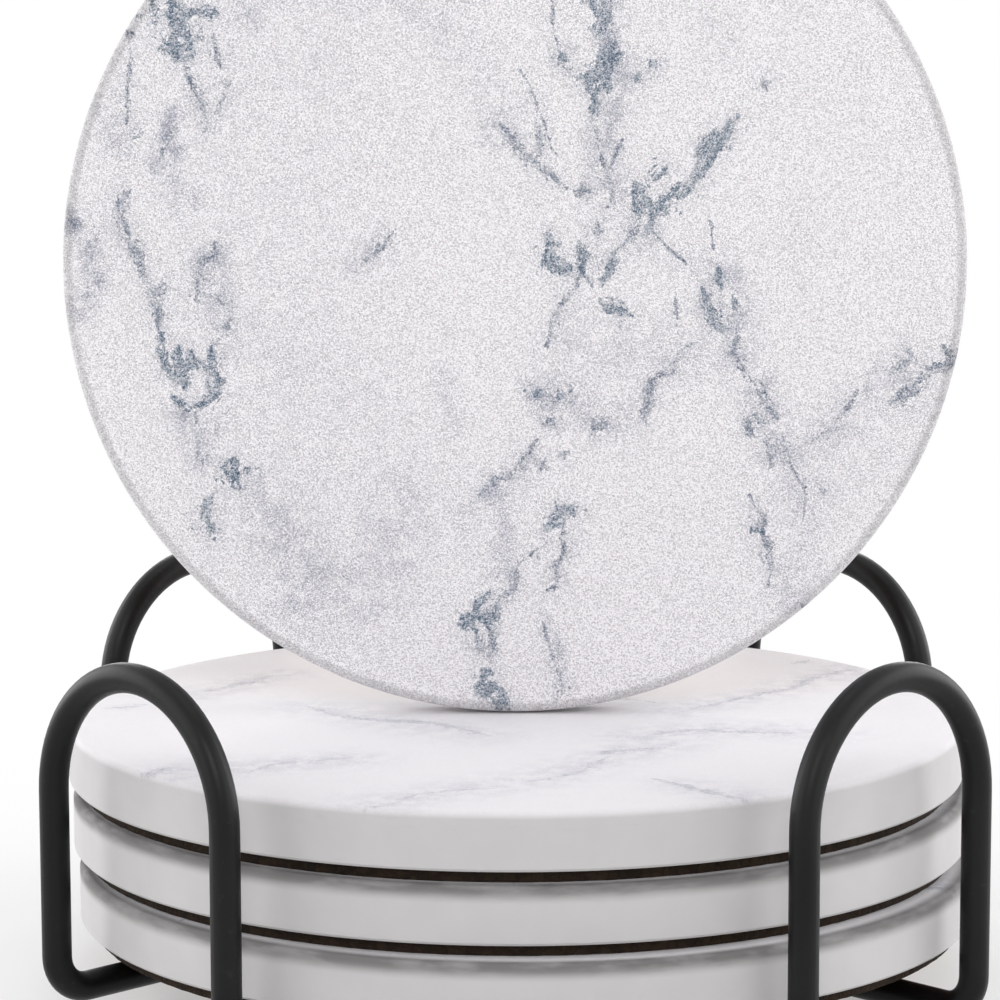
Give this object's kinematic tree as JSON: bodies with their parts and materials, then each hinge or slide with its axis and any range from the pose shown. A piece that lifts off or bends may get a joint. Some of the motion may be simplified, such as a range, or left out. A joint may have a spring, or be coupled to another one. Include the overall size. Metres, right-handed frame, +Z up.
{
  "type": "drink coaster set",
  "caption": "Round marbled ceramic coasters with cork backs, stacked in a black wire holder with arched uprights; one coaster stands on its rim on top.",
  "frame": {"origin": "centre of the wire holder, on the surface that it stands on", "axes": "+Z up; the lower wire loop runs along X and the upper one along Y; the standing coaster faces halfway between +X and -Y"},
  "size_m": [0.1144, 0.1144, 0.1302],
  "materials": {
    "ceramic": "matte",
    "adhesive": "satin",
    "cork": "matte",
    "coated_wire": "satin",
    "coated_weld": "satin"
  },
  "bodies": {
    "holder": {"lower_wire_loop": "coated_wire", "upper_wire_loop": "coated_wire", "cross_welds": "coated_weld", "butt_welds": "coated_weld"},
    "bottom_coaster": {"bottom_ceramic_disc": "ceramic", "bottom_adhesive_film": "adhesive", "bottom_cork_pad": "cork"},
    "middle_coaster": {"middle_ceramic_disc": "ceramic", "middle_adhesive_film": "adhesive", "middle_cork_pad": "cork"},
    "top_coaster": {"top_ceramic_disc": "ceramic", "top_adhesive_film": "adhesive", "top_cork_pad": "cork"},
    "standing_coaster": {"standing_ceramic_disc": "ceramic", "standing_adhesive_film": "adhesive", "standing_cork_pad": "cork"}
  },
  "joints": [
    {"name": "bottom_lift", "type": "slide", "parent": "holder", "child": "bottom_coaster", "axis": [0, 0, 1], "range_m": [0, 0.045]},
    {"name": "middle_lift", "type": "slide", "parent": "bottom_coaster", "child": "middle_coaster", "axis": [0, 0, 1], "range_m": [0, 0.045]},
    {"name": "top_lift", "type": "slide", "parent": "middle_coaster", "child": "top_coaster", "axis": [0, 0, 1], "range_m": [0, 0.045]},
    {"name": "standing_lift", "type": "slide", "parent": "top_coaster", "child": "standing_coaster", "axis": [0, 0, 1], "range_m": [0, 0.045]}
  ]
}
